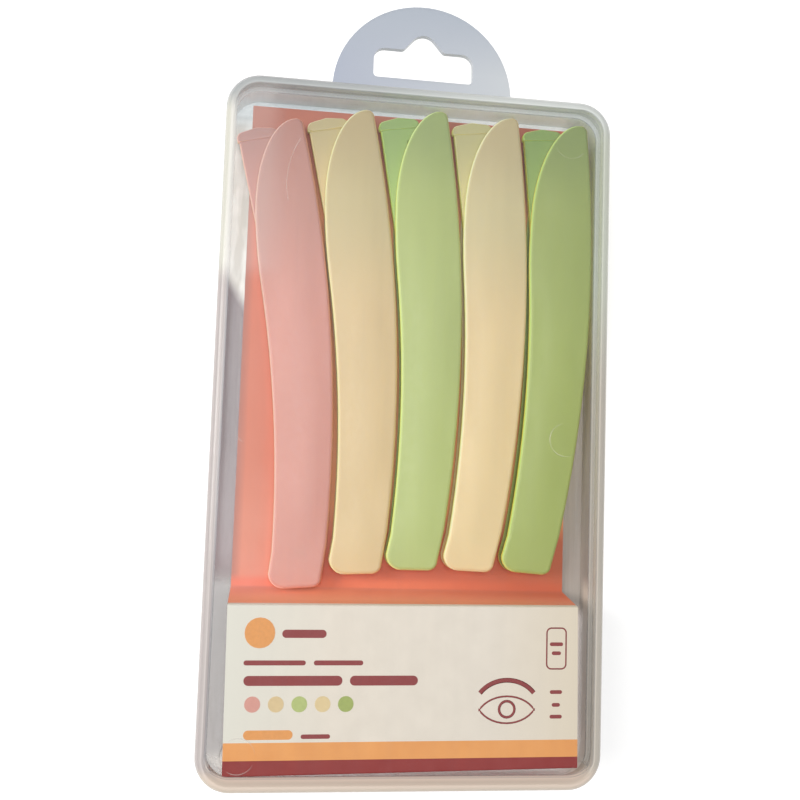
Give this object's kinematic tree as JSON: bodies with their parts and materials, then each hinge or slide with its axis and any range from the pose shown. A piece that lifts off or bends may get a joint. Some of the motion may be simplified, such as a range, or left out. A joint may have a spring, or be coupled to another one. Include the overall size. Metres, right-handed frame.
{
  "type": "boxed set of folding eyebrow razors",
  "caption": "Clear lidded hang-tab case holding a row of folding eyebrow razors on a folded insert card; each comb-guarded blade arm folds into its handle.",
  "frame": {"origin": "bottom centre of the outline, on the plane that the case's back rests on", "axes": "+X across the row of razors, +Y along the case towards the hanging tab, +Z out of the case's front"},
  "size_m": [0.0764, 0.1524, 0.014],
  "materials": {
    "clear_plastic": "slightly milky clear polypropylene, soft sheen",
    "card": "coated printed card, coral panel and cream panel with an orange and a maroon stripe",
    "pink_plastic": "satin moulded plastic",
    "cream_plastic": "satin moulded plastic",
    "green_plastic": "satin moulded plastic",
    "steel": "stamped and ground steel"
  },
  "bodies": {
    "base": {"case_base": "clear_plastic", "insert_card": "card"},
    "lid": {"case_lid": "clear_plastic"},
    "razor_1": {"front_scale_1": "pink_plastic", "rear_scale_1": "pink_plastic", "pivot_pin_1": "steel"},
    "blade_arm_1": {"arm_1": "pink_plastic", "blade_1": "steel", "blade_guard_1": "pink_plastic"},
    "razor_2": {"front_scale_2": "cream_plastic", "rear_scale_2": "cream_plastic", "pivot_pin_2": "steel"},
    "blade_arm_2": {"arm_2": "cream_plastic", "blade_2": "steel", "blade_guard_2": "cream_plastic"},
    "razor_3": {"front_scale_3": "green_plastic", "rear_scale_3": "green_plastic", "pivot_pin_3": "steel"},
    "blade_arm_3": {"arm_3": "green_plastic", "blade_3": "steel", "blade_guard_3": "green_plastic"},
    "razor_4": {"front_scale_4": "cream_plastic", "rear_scale_4": "cream_plastic", "pivot_pin_4": "steel"},
    "blade_arm_4": {"arm_4": "cream_plastic", "blade_4": "steel", "blade_guard_4": "cream_plastic"},
    "razor_5": {"front_scale_5": "green_plastic", "rear_scale_5": "green_plastic", "pivot_pin_5": "steel"},
    "blade_arm_5": {"arm_5": "green_plastic", "blade_5": "steel", "blade_guard_5": "green_plastic"}
  },
  "joints": [
    {"name": "lid_lift", "type": "slide", "parent": "base", "child": "lid", "axis": [0, 0, 1], "range_m": [0, 0.08]},
    {"name": "razor_1_lift", "type": "slide", "parent": "base", "child": "razor_1", "axis": [0, 0, 1], "range_m": [0, 0.06]},
    {"name": "razor_2_lift", "type": "slide", "parent": "base", "child": "razor_2", "axis": [0, 0, 1], "range_m": [0, 0.06]},
    {"name": "razor_3_lift", "type": "slide", "parent": "base", "child": "razor_3", "axis": [0, 0, 1], "range_m": [0, 0.06]},
    {"name": "razor_4_lift", "type": "slide", "parent": "base", "child": "razor_4", "axis": [0, 0, 1], "range_m": [0, 0.06]},
    {"name": "razor_5_lift", "type": "slide", "parent": "base", "child": "razor_5", "axis": [0, 0, 1], "range_m": [0, 0.06]},
    {"name": "arm_1_fold", "type": "hinge", "parent": "razor_1", "child": "blade_arm_1", "pos_m": [-0.02061, -0.033, 0.0041], "axis": [0, 0, 1], "range_deg": [-2.2, 0.2]},
    {"name": "arm_2_fold", "type": "hinge", "parent": "razor_2", "child": "blade_arm_2", "pos_m": [-0.00885, -0.03011, 0.0041], "axis": [0, 0, 1], "range_deg": [-2.2, 0.2]},
    {"name": "arm_3_fold", "type": "hinge", "parent": "razor_3", "child": "blade_arm_3", "pos_m": [0.00247, -0.02915, 0.0041], "axis": [0, 0, 1], "range_deg": [-2.2, 0.2]},
    {"name": "arm_4_fold", "type": "hinge", "parent": "razor_4", "child": "blade_arm_4", "pos_m": [0.01408, -0.02915, 0.0041], "axis": [0, 0, 1], "range_deg": [-2.2, 0.2]},
    {"name": "arm_5_fold", "type": "hinge", "parent": "razor_5", "child": "blade_arm_5", "pos_m": [0.02597, -0.02934, 0.0041], "axis": [0, 0, 1], "range_deg": [-2.2, 0.2]}
  ],
  "couplings": [
    {"joint": "razor_1_lift", "follows": "lid_lift", "ratio": 0.45},
    {"joint": "razor_2_lift", "follows": "lid_lift", "ratio": 0.5},
    {"joint": "razor_3_lift", "follows": "lid_lift", "ratio": 0.55},
    {"joint": "razor_4_lift", "follows": "lid_lift", "ratio": 0.6},
    {"joint": "razor_5_lift", "follows": "lid_lift", "ratio": 0.65}
  ]
}
